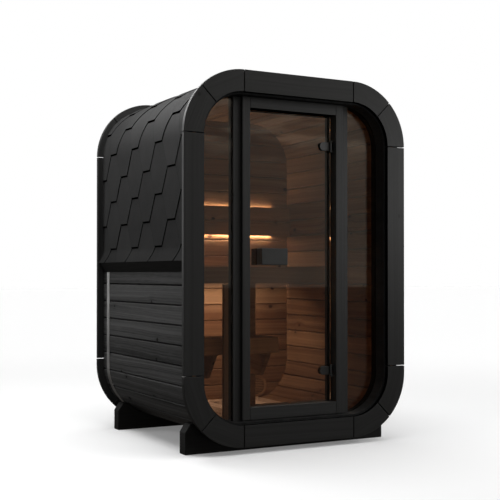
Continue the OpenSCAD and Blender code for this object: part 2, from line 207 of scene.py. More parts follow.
class Shaper(Graph):  # a Geometry Nodes tree with named inputs
    def __init__(self, name, sizes):
        super().__init__(bpy.data.node_groups.new(name, "GeometryNodeTree"))
        sockets = self.tree.interface
        sockets.new_socket("Mesh", in_out="OUTPUT", socket_type="NodeSocketGeometry")
        self.sizes = sizes
        self.ids = {}
        for label, value in sizes.items():
            kind = "NodeSocketInt" if isinstance(value, int) else "NodeSocketFloat"
            self.ids[label] = sockets.new_socket(label, in_out="INPUT", socket_type=kind).identifier
        self.source = self.tree.nodes.new("NodeGroupInput")

    def __getitem__(self, label):
        return Wire(self, self.source.outputs[label])

    def store(self, geometry, name, value, kind="FLOAT", domain="POINT"):
        values = {"Geometry": geometry, "Name": name, "Value": value}
        return self.node("GeometryNodeStoreNamedAttribute", {"data_type": kind, "domain": domain}, values)

    def named(self, name):
        return self.node("GeometryNodeInputNamedAttribute", {"data_type": "FLOAT"}, {"Name": name})

    def chance(self, order, low, high, seed):
        values = {"Min": low, "Max": high, "ID": order, "Seed": seed}
        return self.node("FunctionNodeRandomValue", {"data_type": "FLOAT"}, values)

    def copies(self, count, cells):  # unit blocks in one place, each with its number in "order"
        points = self.node("GeometryNodeMeshLine", {}, {"Count": count, "Offset": (0.0, 0.0, 0.0)})
        sides = dict(zip(("Vertices X", "Vertices Y", "Vertices Z"), cells))
        block = self.node("GeometryNodeMeshCube", {}, sides)
        placed = self.node("GeometryNodeInstanceOnPoints", {}, {"Points": points, "Instance": block})
        number = self.node("GeometryNodeInputIndex")
        placed = self.store(placed, "order", number, domain="INSTANCE")
        return self.node("GeometryNodeRealizeInstances", {}, {"Geometry": placed})

    def placed(self, geometry, position):
        return self.node("GeometryNodeSetPosition", {}, {"Geometry": geometry, "Position": position})

    def flipped(self, geometry, which):
        return self.node("GeometryNodeFlipFaces", {}, {"Mesh": geometry, "Selection": which})

    def made(self, name, geometry, finish):
        solid = self.node("GeometryNodeRealizeInstances", {}, {"Geometry": geometry})
        dressed = self.node("GeometryNodeSetMaterial", {}, {"Geometry": solid, "Material": finish})
        last = self.tree.nodes.new("NodeGroupOutput")
        self.tree.links.new(dressed.socket, last.inputs[0])
        piece = bpy.data.objects.new(name, bpy.data.meshes.new(name + "Start"))
        scene.collection.objects.link(piece)
        modifier = piece.modifiers.new("shape", "NODES")
        modifier.node_group = self.tree
        for label, value in self.sizes.items():
            modifier[self.ids[label]] = value
        keepShape(piece)
        return piece


def keepShape(piece):  # the modifiers' result becomes the piece's own plain mesh
    graph = bpy.context.evaluated_depsgraph_get()
    mesh = bpy.data.meshes.new_from_object(
        piece.evaluated_get(graph), preserve_all_data_layers=True, depsgraph=graph)
    piece.modifiers.clear()
    piece.data = mesh
    mesh.name = piece.name


def newPiece(name, shell):  # an object of its own from a finished bmesh
    mesh = bpy.data.meshes.new(name)
    shell.to_mesh(mesh)
    shell.free()
    piece = bpy.data.objects.new(name, mesh)
    scene.collection.objects.link(piece)
    return piece


def wrapped(graph, path, run, lift, side):  # flat boards laid round the cabin's outline
    upper = ((path - flatHalf) / curve).between(0.0, math.pi / 2)
    lower = ((path - pathFoot) / curve).between(0.0, math.pi / 2)
    fall = (path - pathWall).between(0.0, pathFoot - pathWall)
    level = path.math("MINIMUM", flatHalf) - (path - (pathEnd - flatHalf)).math("MAXIMUM", 0.0)
    turn = upper + lower
    reach = lift + curve
    x = (level + reach * turn.math("SINE")) * side
    z = wallHigh.z - fall + reach * turn.math("COSINE")
    return graph.vector(x, run, z)


def shadeByAngle(mesh, degrees=30):
    mesh.shade_smooth()
    mesh.set_sharp_from_angle(angle=math.radians(degrees))


def looseParts(mesh):  # the separate solids' vertices, in order of place
    shell = bmesh.new()
    shell.from_mesh(mesh)
    left = set(range(len(shell.verts)))
    shell.verts.ensure_lookup_table()
    groups = []
    while left:
        group = []
        queue = [left.pop()]
        while queue:
            index = queue.pop()
            group.append(index)
            for link in shell.verts[index].link_edges:
                other = link.other_vert(shell.verts[index]).index
                if other in left:
                    left.remove(other)
                    queue.append(other)
        centre = sum((shell.verts[i].co for i in group), Vector()) / len(group)
        groups.append((centre, group))
    shell.free()
    return sorted(groups, key=lambda pair: tuple(round(value, 3) for value in pair[0]))


def grainAxes(along, centre):  # unit vectors along, across and through a board
    axes = {"x": Vector((1, 0, 0)), "y": Vector((0, 1, 0)), "z": Vector((0, 0, 1))}
    if along == "round":
        height = wallHigh.z if centre.z > midHeight else wallLow.z
        middle = Vector((math.copysign(flatHalf, centre.x), 0, height))
        radial = Vector((centre.x - middle.x, 0, centre.z - middle.z)).normalized()
        return Vector((-radial.z, 0, radial.x)), radial, axes["y"]
    order = {"x": "xzy", "y": "yxz", "z": "zxy"}[along]
    return [axes[letter] for letter in order]


def labelBoards(mesh, along, seed):  # "plank" is a place in the board, "tone" its own shade
    chance = random.Random(seed)
    places = [0.0] * (3 * len(mesh.vertices))
    tones = [0.0] * len(mesh.vertices)
    for centre, group in looseParts(mesh):
        shift = Vector([chance.uniform(-grainShift, grainShift) for _ in range(3)])
        shade = chance.random()
        axes = grainAxes(along, centre)
        for index in group:
            place = mesh.vertices[index].co
            places[3 * index:3 * index + 3] = Vector([place.dot(axis) for axis in axes]) + shift
            tones[index] = shade
    mesh.attributes.new("plank", "FLOAT_VECTOR", "POINT").data.foreach_set("vector", places)
    mesh.attributes.new("tone", "FLOAT", "POINT").data.foreach_set("value", tones)


def markPaintedShade(mesh, chosen):  # the vertices that take painted shade, on faces that lie in shadow
    shades = [1.0 if chosen(vertex.co) else 0.0 for vertex in mesh.vertices]
    mesh.attributes.new("paintedShade", "FLOAT", "POINT").data.foreach_set("value", shades)


def fromCore(place):  # distance from the outline's inner line, about which the corners turn
    x = max(abs(place.x) - flatHalf, 0.0)
    z = place.z - min(max(place.z, wallLow.z), wallHigh.z)
    return math.hypot(x, z)


def settled(piece, finish, slot, body, *nodes):  # on its body, in place of the nodes
    if not piece.data.materials:
        piece.data.materials.append(finish)
    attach(piece, body)
    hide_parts(*nodes)
    return piece


def bored(piece, cutter):  # a hole cut by a Boolean, its result kept in the mesh
    modifier = piece.modifiers.new("hole", "BOOLEAN")
    modifier.operation = "DIFFERENCE"
    modifier.solver = "EXACT"
    modifier.object = cutter
    keepShape(piece)
    shadeByAngle(piece.data)


easing = {"merge": 1e-5, "flatAngle": math.radians(0.5), "sharpAngle": math.radians(30)}


def eased(node, name, along, finish, slot, ease, body="cabin", groove=None):
    # a copy of a node's solid with its sharp edges eased
    shell = bmesh.new()
    shell.from_mesh(frame["nodes"][node].data)
    bmesh.ops.remove_doubles(shell, verts=shell.verts, dist=easing["merge"])
    bmesh.ops.dissolve_limit(shell, angle_limit=easing["flatAngle"], verts=shell.verts, edges=shell.edges)
    sharp = [edge for edge in shell.edges if edge.calc_face_angle(0) > easing["sharpAngle"]]
    bmesh.ops.bevel(shell, geom=sharp, offset=ease, segments=1, affect="EDGES", clamp_overlap=True)
    piece = newPiece(name, shell)
    mesh = piece.data
    mesh.materials.clear()
    for layer in ("custom_normal", "sharp_face"):
        if layer in mesh.attributes:
            mesh.attributes.remove(mesh.attributes[layer])
    if groove:
        bored(piece, groove)
    labelBoards(piece.data, along, sum(map(ord, name)))
    shadeByAngle(piece.data)
    return settled(piece, finish, slot, body, node)


def trimmed(piece, start, end):  # cut square at both ends of the run, and closed again
    near = 1e-6
    shell = bmesh.new()
    shell.from_mesh(piece.data)
    for place, way in ((start, -1), (end, 1)):
        everything = [*shell.verts, *shell.edges, *shell.faces]
        bmesh.ops.bisect_plane(shell, geom=everything, dist=near, plane_co=(0, place, 0),
                               plane_no=(0, way, 0), clear_outer=True)
        rim = [edge for edge in shell.edges if edge.is_boundary]
        bmesh.ops.holes_fill(shell, edges=rim, sides=0)
    shell.to_mesh(piece.data)
    shell.free()


def extruded(name, outlines, start, end):  # closed outlines in X and Z, run along Y
    shell = bmesh.new()
    for outline in outlines:
        rings = [[shell.verts.new((x, y, z)) for x, z in outline] for y in (start, end)]
        shell.faces.new(rings[0])
        shell.faces.new(rings[1][::-1])
        for i in range(len(outline)):
            j = (i + 1) % len(outline)
            shell.faces.new((rings[0][i], rings[0][j], rings[1][j], rings[1][i]))
    bmesh.ops.recalc_face_normals(shell, faces=shell.faces)
    return newPiece(name, shell)


grain = {  # what every timber shares, along, across and through its boards
    "knotStretch": 0.75, "knotLeast": 0.55, "knotSpread": 0.6, "knotFade": 0.6, "knotReach": 5.0,
    "halo": 0.35, "swayStretch": (1.6, 3.0, 3.0), "sway": 0.012, "wanderStretch": (0.7, 2.0, 2.0),
    "toneShift": 3.0, "ringAlong": 0.35, "ringThrough": 8.0, "bandAlong": 0.25, "bandAcross": 0.22,
    "bandThrough": 2.0, "fibreStretch": (9.0, 420.0, 420.0), "glossRange": (0.4, 1.1), "knotGloss": 0.1,
    "reliefDepth": 0.0012}


def woodFinish(name, look):  # growth rings cut along the board, bending round scattered knots
    paint = Finish(name)
    plank = paint.attribute("plank", "Vector")
    tone = paint.attribute("tone")
    along, across, through = paint.parts(plank)
    flat = paint.vector(along * grain["knotStretch"], across, 0.0)
    knots = paint.node("ShaderNodeTexVoronoi", {"voronoi_dimensions": "2D"},
                       {"Vector": flat, "Scale": look["knotScale"]})
    pick, girth, _ = paint.parts(knots.also("Color"))
    chosen = pick.math("GREATER_THAN", 1 - look["knotShare"])
    size = (grain["knotLeast"] + girth * grain["knotSpread"]) * look["knotSize"]
    heart = paint.ramp(knots / size, 1.0, grain["knotFade"]) * chosen
    around = paint.ramp(knots, look["knotSize"] * grain["knotReach"], 0.0) * chosen
    sway = paint.noise(paint.stretched(plank, grain["swayStretch"]), 1.0, 2.0) - 0.5
    wander = paint.noise(paint.stretched(plank, grain["wanderStretch"]), 1.0, 1.0) - 0.5
    cut = across + wander * look["wander"] + sway * grain["sway"] + around * look["detour"]
    cut = (cut + tone * grain["toneShift"]) * look["ringScale"]
    flow = paint.vector(along * grain["ringAlong"], cut, through * grain["ringThrough"])
    rings = paint.noise(flow, 1.0, 4.0, 0.62)
    flow = paint.vector(
        along * grain["bandAlong"], cut * grain["bandAcross"], through * grain["bandThrough"])
    bands = paint.noise(flow, 1.0, 2.0, 0.5)
    fibre = paint.noise(paint.stretched(plank, grain["fibreStretch"]), 1.0, 3.0, 0.6)
    mixed = rings * look["ringShare"] + bands * look["bandShare"] + fibre * look["fibreShare"]
    share = paint.ramp(mixed + (tone - 0.5) * look["toneShare"], look["low"], look["high"], kind="LINEAR")
    shade = paint.blend(share, look["dark"], look["light"])
    shade = paint.blend(around * around * grain["halo"], shade, look["dark"])
    shade = paint.blend(heart, shade, look["knot"])
    gloss = paint.ramp(fibre + rings * 0.5, *grain["glossRange"], look["roughness"], "LINEAR")
    relief = fibre * 0.4 + rings * 0.6 - heart * 0.5
    bare = paint.surface(
        Base_Color=shade, Roughness=gloss - heart * grain["knotGloss"],
        Specular_IOR_Level=look["specular"], Normal=paint.bump(relief, look["bump"], grain["reliefDepth"]))
    # knots are matt, and faces marked with painted shade turn matt near-black, as if in shadow
    dull = (heart * look["dull"]).math("MAXIMUM", paint.attribute("paintedShade"))
    return paint.finished(paint.matted(dull, bare, look["knot"]))


def grey(shade):
    return (shade, shade, shade)


blackLook = {
    "knotScale": 6.6, "knotShare": 0.42, "knotSize": 0.085, "ringScale": 110.0, "wander": 0.05,
    "detour": 0.005, "ringShare": 0.6, "bandShare": 0.6, "fibreShare": 0.3, "toneShare": 0.14,
    "low": 0.60, "high": 0.93, "dark": (0.0080, 0.0080, 0.0079), "light": (0.082, 0.0815, 0.081),
    "knot": grey(0.0015), "roughness": (0.70, 0.50), "specular": 0.16, "bump": 0.5, "dull": 0.55}
ringLook = {
    **blackLook, "knotShare": 0.08, "dull": 0.2, "low": 0.56, "high": 0.96,
    "dark": grey(0.005), "light": grey(0.0145), "roughness": (0.56, 0.44), "specular": 0.26, "bump": 0.3}
joineryLook = {**ringLook, "knotShare": 0.05, "dark": grey(0.007), "light": grey(0.020), "specular": 0.29}
# a darker, nearly sheenless copy of the joinery finish: painted shade in the glazing hoop's reveal and
# behind the vent blades
shadedJoineryLook = {**joineryLook, "light": grey(0.018), "specular": 0.04}
# a darker copy of the cladding finish: painted shade on the feet under the cabin
shadedFootLook = {
    **blackLook, "knotShare": 0.2, "dark": grey(0.0022), "light": grey(0.0065), "specular": 0.18}
# darker and duller again: painted shade on the wedges under the eave
shadedEaveLook = {**shadedFootLook, "dark": grey(0.0015), "light": grey(0.004), "specular": 0.1}
thermoLook = {
    "knotScale": 5.6, "knotShare": 0.36, "knotSize": 0.075, "ringScale": 95.0, "wander": 0.07,
    "detour": 0.018, "ringShare": 0.62, "bandShare": 0.7, "fibreShare": 0.16, "toneShare": 0.55,
    "low": 0.42, "high": 1.12, "dark": (0.150, 0.068, 0.034), "light": (0.47, 0.275, 0.150),
    "knot": (0.055, 0.022, 0.012), "roughness": (0.5, 0.68), "specular": 0.3, "bump": 0.2, "dull": 0.0}
# a paler copy of the thermo finish: painted light on the floor boards and the inner post behind the glass
litThermoLook = {**thermoLook, "dark": (0.30, 0.185, 0.115), "light": (0.66, 0.47, 0.33)}

blackBoard = woodFinish("blackBoard", blackLook)
ringBoard = woodFinish("ringBoard", ringLook)
blackJoinery = woodFinish("blackJoinery", joineryLook)
hoopBoard = woodFinish("hoopBoard", shadedJoineryLook)
footTimber = woodFinish("footTimber", shadedFootLook)
eaveBoard = woodFinish("eaveBoard", shadedEaveLook)
thermoBoard = woodFinish("thermoBoard", thermoLook)
paleBoard = woodFinish("paleBoard", litThermoLook)

shingleCell = 0.293  # from one tab's lower edge to the next one's in its column
evenHeight, oddHeight = 1.717, 1.567  # where a lower edge lies, in each kind of column
shingles = {
    "cell": shingleCell, "column": 0.1755, "firstColumn": frontLow.y + 0.062, "flat": 0.103,
    "tabLift": 0.0088, "topLift": 0.0015, "edge": 0.0062, "hidden": 0.022, "thinning": 0.004,
    "evenFlat": pathAt(evenHeight) % shingleCell, "oddFlat": pathAt(oddHeight) % shingleCell,
    "ridgeGap": 0.01, "leastTab": 0.02, "leastSlant": 0.01, "looseLow": -0.0004, "looseHigh": 0.0006,
    "eave": pathAt(skinLow.z), "flare": pathAt(wedgeHigh.z), "throw": flareThrow, "power": flarePower,
    "columns": 8, "rows": 6, "grainStep": 0.7, "seed": 3, "toneSeed": 21}


def shingleFinish():  # coarse grit, with painted shade: matt black lines along each tab's edges and below the tab above
    look = {
        "dark": (0.0060, 0.0060, 0.0061), "light": grey(0.0190), "edgeShade": grey(0.0006), "grit": 520.0,
        "roughness": (0.62, 0.85), "specular": 0.12, "bump": 0.5, "reliefDepth": 0.0009, "flare": 0.6,
        "foot": 0.003, "under": 0.0085, "underEnds": (0.002, -0.001), "slant": 0.0018, "slantShare": 0.8}
    paint = Finish("bitumenShingle")
    plank = paint.attribute("plank", "Vector")
    tone = paint.attribute("tone")
    grit = paint.noise(plank, look["grit"], 2.0, 0.7)
    speckle = paint.node("ShaderNodeTexVoronoi", {}, {"Vector": plank, "Scale": look["grit"] * 0.8})
    mottle = paint.noise(plank, 9.0, 3.0)
    share = paint.ramp(grit * 0.55 + mottle * 0.35 + tone * 0.25 + speckle * 0.15, 0.3, 1.0)
    shade = paint.blend(share, look["dark"], look["light"])
    # painted shade on the flared eave rows, darker towards the eave
    shade = paint.blend(paint.attribute("flare") * look["flare"], shade, look["edgeShade"])
    edgeShade = paint.ramp(paint.attribute("edgeShade"), 0.06, 0.16)  # painted shade on the tabs' edge faces
    rise = paint.attribute("rise")
    offset = paint.attribute("offset").math("ABSOLUTE")
    flat = shingles["flat"] / 2
    widening = (rise / (shingles["cell"] / 2)).math("MINIMUM", 1.0)
    reach = flat + (shingles["column"] - shingles["flat"]) * widening
    # painted shade lines: along the slanted edges, along the foot, and below the flat foot of the tab above
    slant = paint.ramp(reach - offset, look["slant"], look["slant"] * 0.4)
    foot = paint.ramp(rise, look["foot"], look["foot"] * 0.6)
    under = paint.ramp(rise, shingles["cell"] - look["under"], shingles["cell"] - look["under"] * 0.7)
    ends = [flat + extra for extra in look["underEnds"]]
    under = under * paint.ramp(offset, *ends)
    paintedShadeLines = edgeShade.math("MAXIMUM", foot).math("MAXIMUM", under).math("MAXIMUM", slant * look["slantShare"])
    gritty = paint.surface(
        Base_Color=shade, Roughness=paint.ramp(grit, 0.3, 0.7, look["roughness"], "LINEAR"),
        Specular_IOR_Level=look["specular"],
        Normal=paint.bump(grit + speckle * 0.5, look["bump"], look["reliefDepth"]))
    # the painted shade lines are matt near-black, on the laid tabs only
    return paint.finished(paint.matted(paintedShadeLines * paint.attribute("laid"), gritty, look["edgeShade"]))


def metalFinish(name, look):
    paint = Finish(name)
    place = paint.node("ShaderNodeTexCoord", {}, {}, "Object")
    brushed = paint.noise(paint.stretched(place, look["stretch"]), 1.0, 3.0)
    worn = paint.noise(place, look["wear"], 3.0)
    share = paint.ramp(brushed * 0.7 + worn * 0.4, 0.3, 0.9)
    return paint.finished(paint.surface(
        Base_Color=paint.blend(share, look["dark"], look["light"]), Metallic=look["metallic"],
        Roughness=paint.ramp(share, 0.0, 1.0, look["roughness"], "LINEAR"),
        Normal=paint.bump(brushed, look["bump"], look["reliefDepth"])))


def glassFinish():  # clear with a brown tint, mirroring at a slant, with a trace of haze
    look = {"tint": (0.80, 0.725, 0.655), "index": 1.5, "haze": 0.012}
    paint = Finish("tintedGlass")
    place = paint.node("ShaderNodeTexCoord", {}, {}, "Object")
    haze = paint.ramp(paint.noise(place, 2.2, 3.0), 0.35, 0.75, (0.0, look["haze"]))
    clear = paint.node("ShaderNodeBsdfTransparent", {}, {"Color": look["tint"]})
    mirror = paint.node("ShaderNodeBsdfGlossy", {}, {"Color": plainWhite, "Roughness": 0.0})
    share = paint.node("ShaderNodeFresnel", {}, {"IOR": look["index"]}) + haze
    return paint.finished(paint.node("ShaderNodeMixShader", {}, {0: share, 1: clear, 2: mirror}))


def lightFinish():  # the bars shine up and down, away from the backrest between them
    look = {
        "warm": (1.0, 0.86, 0.66), "pale": (1.0, 0.93, 0.80), "streaks": (60.0, 1.0, 1.0),
        "lower": 74.0, "upper": 29.0, "side": 1.5, "rim": 0.0004}
    paint = Finish("lightDiffuser")
    place = paint.node("ShaderNodeTexCoord", {}, {}, "Object")
    height = paint.parts(place)[2]
    share = paint.ramp(paint.noise(paint.stretched(place, look["streaks"]), 1.0, 1.0), 0.3, 0.7)
    glow = paint.blend(share, look["warm"], look["pale"])
    below = height.math("LESS_THAN", barLow.z + look["rim"])
    above = height.math("GREATER_THAN", barHigh.z - look["rim"])
    side = look["side"] / look["lower"]
    part = below * (1 - side) + above * (look["upper"] / look["lower"] - side) + side
    return paint.finished(paint.surface(
        Base_Color=glow, Roughness=0.6, Emission_Color=paint.scaled(glow, part),
        Emission_Strength=look["lower"]))


bitumenShingle = shingleFinish()
strapLook = {
    "stretch": (30.0, 900.0, 6.0), "dark": (0.46, 0.46, 0.455), "light": (0.64, 0.64, 0.635),
    "metallic": 1.0, "roughness": (0.34, 0.5), "wear": 14.0, "bump": 0.1, "reliefDepth": 0.0004}
hardwareLook = {
    **strapLook, "stretch": (90.0, 90.0, 90.0), "dark": grey(0.004), "light": grey(0.0095),
    "metallic": 0.0, "roughness": (0.32, 0.46)}
steelStrap = metalFinish("steelStrap", strapLook)
blackHardware = metalFinish("blackHardware", hardwareLook)
tintedGlass = glassFinish()
lightDiffuser = lightFinish()
print("finishes ready")


# A board starts as a unit block with points along one side. The points past blockEnd become its
# two edges, and blockInner spreads the others over the flat between the chamfers.
blockPoints = 7
blockEnd = 0.45
blockInner = 3


def cabinBoards(name, layer, finish):  # V-jointed boards laid round the outline, both sides
    shape = Shaper(name, layer)
    board = shape.copies(shape["count"], (blockPoints, 2, 2))
    order = shape.named("order")
    side = order.math("MODULO", 2.0) * 2 - 1
    number = (order / 2).math("FLOOR")
    first = shape["joint"] + (number - 1) * shape["pitch"]
    start = first.between(0.0, pathEnd)
    end = (first + shape["pitch"]).between(0.0, pathEnd)
    x, y, z = shape.parts(shape.node("GeometryNodeInputPosition"))
    seen = (z * shape["outward"]).math("GREATER_THAN", 0.0)
    half = (end - start - shape["gap"] * seen) / 2  # the joint closes towards the hidden face
    far = x.math("ABSOLUTE")
    edge = far.math("GREATER_THAN", blockEnd)
    local = x.math("SIGN") * (edge * half + (1 - edge) * far * blockInner * (half - shape["chamfer"]))
    drop = seen * edge * shape["chamfer"] + (1 - seen) * shape["depth"]
    lift = shape["face"] - shape["outward"] * drop
    run = y * (shape["end"] - shape["start"]) + (shape["end"] + shape["start"]) / 2
    path = (start + end) / 2 + local
    shift = shape.chance(order, -grainShift, grainShift, shape["grainSeed"])
    flat = shape.vector(run + shift, local + shift * shape["skew"], lift)
    board = shape.store(board, "plank", flat, "FLOAT_VECTOR")
    board = shape.store(board, "tone", shape.chance(order, 0.0, 1.0, shape["toneSeed"]))
    board = shape.store(board, "side", side)
    board = shape.placed(board, wrapped(shape, path, run, lift, side))
    board = shape.flipped(board, shape.named("side").math("LESS_THAN", 0.0))
    piece = shape.made(name, board, finish)
    shadeByAngle(piece.data)
    return piece


jointHeight = 0.912  # of one joint between the boards on a side
boards = {
    "pitch": boardPitch, "gap": 0.0055, "chamfer": 0.0045, "depth": wallDepth / 2, "count": 58,
    "joint": pathAt(jointHeight) % boardPitch, "skew": 0.37, "grainSeed": 4, "toneSeed": 11}
shellNodes = ["wall_left", "wall_right", "corner_low_left", "corner_low_right", "corner_high_left",
              "corner_high_right", "base_boards", "roof_boards"]

backLow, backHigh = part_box("back_wall")
backMiddle = (backLow.y + backHigh.y) / 2
for name, face, outward, start, end, finish, slot in (
        ("cladding", 0.0, 1.0, runStart, runEnd, blackBoard, "black_board"),
        ("lining", -wallDepth, -1.0, runStart, backMiddle, thermoBoard, "thermo_board"),
        ("backReveal", -wallDepth, -1.0, backMiddle, runEnd, blackBoard, "black_board")):
    layer = {**boards, "face": face, "outward": outward, "start": start, "end": end}
    settled(cabinBoards(name, layer, finish), finish, slot, "cabin", *shellNodes)
print("cabin boards laid")


def backBoards(name, layer, finish):  # level boards inside the rounded outline
    shape = Shaper(name, layer)
    board = shape.copies(shape["count"], (2, 2, blockPoints))
    order = shape.named("order")
    x, y, z = shape.parts(shape.node("GeometryNodeInputPosition"))
    far = z.math("ABSOLUTE")
    edge = far.math("GREATER_THAN", blockEnd)
    first = shape["joint"] + (order - 1) * shape["pitch"]
    low = first - (first - shape["low"]) * order.math("LESS_THAN", 0.5)
    high = (first + shape["pitch"]).math("MINIMUM", shape["high"])
    seen = (y * shape["outward"]).math("GREATER_THAN", 0.0)
    half = (high - low - shape["gap"] * seen) / 2
    local = z.math("SIGN") * (edge * half + (1 - edge) * far * blockInner * (half - shape["chamfer"]))
    height = (low + high) / 2 + local
    above = (height - wallHigh.z).math("MAXIMUM", 0.0) + (wallLow.z - height).math("MAXIMUM", 0.0)
    inner = curve - wallDepth
    reach = (inner * inner - above * above).math("MAXIMUM", 0.0).math("SQRT") + flatHalf
    drop = seen * edge * shape["chamfer"] + (1 - seen) * shape["depth"]
    place = shape["face"] - shape["outward"] * drop
    board = shape.placed(board, shape.vector(x * reach * 2, place, height))
    return shape.made(name, board, finish)


def circleOutline(centreX, centreZ, radius, steps=48):
    return [(centreX + radius * math.cos(2 * math.pi * i / steps),
             centreZ + radius * math.sin(2 * math.pi * i / steps)) for i in range(steps)]


ventLow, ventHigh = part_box("vent_grille")
vent = {
    "x": (ventLow.x + ventHigh.x) / 2, "z": (ventLow.z + ventHigh.z) / 2, "bore": 0.055,
    "flange": (ventHigh.x - ventLow.x) / 2, "rim": 0.008, "round": 0.002, "inset": 0.001,
    "throat": 0.013, "sleeveWall": 0.004, "rimTone": 0.45, "screenPlace": 0.010, "screen": 0.002}
backLayer = {
    "pitch": boardPitch, "gap": 0.004, "chamfer": 0.004, "depth": (backHigh.y - backLow.y) / 2,
    "low": backLow.z, "high": backHigh.z, "joint": 0.232, "count": 18}
overrun = 0.1  # of a cutter past both faces
ventCircle = circleOutline(vent["x"], vent["z"], vent["bore"])
borer = extruded("borer", [ventCircle], backLow.y - overrun, backHigh.y + overrun)
for name, face, outward, finish, slot in (
        ("backLining", backLow.y, -1.0, thermoBoard, "thermo_board"),
        ("backCladding", backHigh.y, 1.0, blackBoard, "black_board")):
    piece = backBoards(name, {**backLayer, "face": face, "outward": outward}, finish)
    bored(piece, borer)
    labelBoards(piece.data, "x", len(name))
    settled(piece, finish, slot, "cabin", "back_wall")
bpy.data.objects.remove(borer)
print("back wall laid")


tabPoints = 13  # down a tab, so that it bends round the corner


def shingleTabs(layout, finish):  # six-sided tabs in staggered columns, each lapping the ones below
    shape = Shaper("shingles", layout)
    tab = shape.copies(shape["columns"] * shape["rows"] * 2, (2, tabPoints, 2))
    order = shape.named("order")
    side = order.math("MODULO", 2.0) * 2 - 1
    number = (order / 2).math("FLOOR")
    column = number.math("MODULO", shape["columns"])
    row = (number / shape["columns"]).math("FLOOR")
    odd = column.math("MODULO", 2.0)
    across, down, up = shape.parts(shape.node("GeometryNodeInputPosition"))
    foot = odd * shape["oddFlat"] + (1 - odd) * shape["evenFlat"] + row * shape["cell"]
    middle = shape["cell"] / 2
    length = (shape["cell"] + shape["hidden"]).math("MINIMUM", foot - shape["ridgeGap"])
    cut = (foot - shape["eave"]).between(0.0, length - shape["leastTab"])
    knee = (cut + shape["leastSlant"]).math("MAXIMUM", middle)  # where the tab has its full width
    share = down + 0.5
    upper = (share * 2).between(0.0, 1.0)
    lower = (share * 2 - 1).between(0.0, 1.0)
    rise = length - upper * (length - knee) - lower * (knee - cut)  # above the tab's foot
    wide = shape["column"] - shape["flat"]
    half = shape["flat"] / 2 + wide * (rise / middle).math("MINIMUM", 1.0)
    path = foot - rise
    run = shape["firstColumn"] + column * shape["column"] + across * half * 2 * side
    slope = (rise / (shape["cell"] + shape["hidden"])).between(0.0, 1.0)
    loose = shape.chance(order, shape["looseLow"], shape["looseHigh"], shape["seed"])
    top = shape["tabLift"] - (shape["tabLift"] - shape["topLift"]) * slope + loose
    lift = top - (0.5 - up) * (shape["edge"] - slope * shape["thinning"])
    bend = ((path - shape["flare"]) / (shape["eave"] - shape["flare"])).between(0.0, 1.0)
    lift = lift + bend.math("POWER", shape["power"]) * shape["throw"]
    flat = shape.vector(run, path + order * shape["grainStep"], lift)
    tab = shape.store(tab, "plank", flat, "FLOAT_VECTOR")
    tab = shape.store(tab, "tone", shape.chance(order, 0.0, 1.0, shape["toneSeed"]))
    # what the finish reads for its painted shade: depth through the tab, the flare, the rise and the offset
    # from the tab's middle
    tab = shape.store(tab, "edgeShade", 0.5 - up)
    tab = shape.store(tab, "laid", 1.0)
    tab = shape.store(tab, "flare", bend)
    tab = shape.store(tab, "rise", rise)
    tab = shape.store(tab, "offset", across * half * 2)
    tab = shape.placed(tab, wrapped(shape, path, run, lift, side))
    return shape.made("shingles", tab, finish)


skin = shingleTabs(shingles, bitumenShingle)
turnedOut = bmesh.new()  # one side's tabs are mirrored, so their faces are turned outwards
turnedOut.from_mesh(skin.data)
bmesh.ops.recalc_face_normals(turnedOut, faces=turnedOut.faces)
turnedOut.to_mesh(skin.data)
turnedOut.free()
trimmed(skin, runStart, runEnd)
shadeByAngle(skin.data)
settled(skin, bitumenShingle, "bitumen_shingle", "cabin", "skin_left", "skin_right", "skin_roof")


def wedgeOutline(side, steps=6):
    bend = [((i / steps) ** flarePower * flareThrow, wedgeHigh.z + (skinLow.z - wedgeHigh.z) * i / steps)
            for i in range(steps + 1)]
    return [(side * (wallHigh.x + x), z) for x, z in bend] + [(side * wallHigh.x, wedgeLow.z)]


wedges = extruded("eaveWedges", [wedgeOutline(-1), wedgeOutline(1)], runStart, runEnd)
labelBoards(wedges.data, "y", 7)
settled(wedges, eaveBoard, "black_board", "cabin", "eave_wedges")
print("shingles laid")


